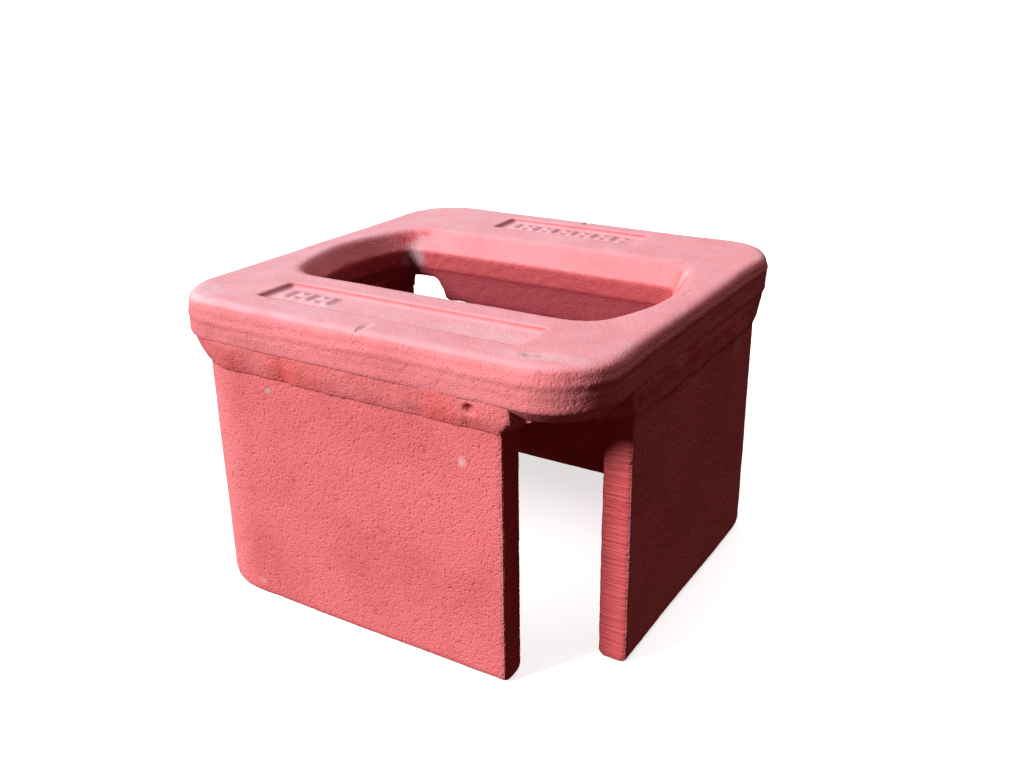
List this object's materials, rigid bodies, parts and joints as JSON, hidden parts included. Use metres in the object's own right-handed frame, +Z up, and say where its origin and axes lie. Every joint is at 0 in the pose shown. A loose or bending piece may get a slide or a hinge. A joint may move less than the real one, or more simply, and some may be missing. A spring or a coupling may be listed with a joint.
{
  "type": "raised deck socket",
  "caption": "Square cast socket plate with a bevelled lock opening, on a welded skirt of bent plates with open corner slots; holds a cargo container's lock fitting above a steel deck.",
  "frame": {"origin": "on the floor under the centre of the skirt, at the level of the lower edge that is welded to the deck", "axes": "+Z up through the socket opening; X along the long way of the opening; -Y is the side with the longer sunk panel"},
  "size_m": [0.19, 0.19, 0.13],
  "materials": {
    "cast_plate": "matt red oxide primer over sand-cast steel",
    "skirt_plate": "matt red oxide primer over hot-rolled plate with flame-cut ends",
    "weld_bead": "matt red oxide primer over rippled weld metal"
  },
  "bodies": {
    "root": {"socket_plate": "cast_plate", "front_left_skirt": "skirt_plate", "back_right_skirt": "skirt_plate", "front_left_outer_weld": "weld_bead", "back_right_outer_weld": "weld_bead", "front_left_inner_weld": "weld_bead", "back_right_inner_weld": "weld_bead", "front_right_slot_weld": "weld_bead", "back_left_slot_weld": "weld_bead"}
  },
  "joints": []
}
